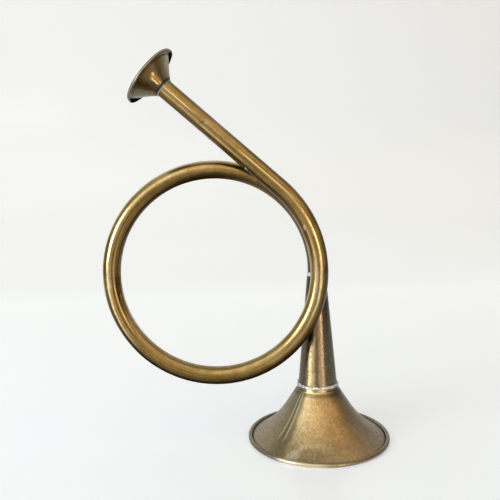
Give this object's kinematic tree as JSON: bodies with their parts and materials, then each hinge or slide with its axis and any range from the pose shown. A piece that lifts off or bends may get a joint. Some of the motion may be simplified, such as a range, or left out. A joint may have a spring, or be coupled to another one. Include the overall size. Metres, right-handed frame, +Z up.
{
  "type": "bugle",
  "caption": "Natural brass horn with one round coil, a funnel mouthpiece and a flared bell; stands upright on its bell's rolled rim.",
  "frame": {"origin": "centre of the bell's mouth, on the plane that the rolled rim rests on", "axes": "+Z up along the bell and stem, +X from the coil towards the stem, -Y the side on which the leadpipe lies over the coil"},
  "size_m": [0.2574, 0.131, 0.3515],
  "materials": {
    "mouthpiece_brass": "dark brown aged brass, satin",
    "tube_brass": "golden brown aged brass, polished by handling",
    "stem_brass": "mottled aged brass, satin",
    "bell_brass": "dull khaki aged brass, nearly matt",
    "solder": "dull grey soft solder",
    "rim_wire": "plain drawn wire"
  },
  "bodies": {
    "root": {"mouthpiece_funnel": "mouthpiece_brass", "mouthpiece_solder": "solder", "coil_tube": "tube_brass", "crossing_solder_tack": "solder", "loop_solder_tack": "solder", "stem_top_solder": "solder", "bell_stem": "stem_brass", "bell_seam_solder": "solder", "bell_flare": "bell_brass", "bell_rim_wire": "rim_wire"}
  },
  "joints": []
}
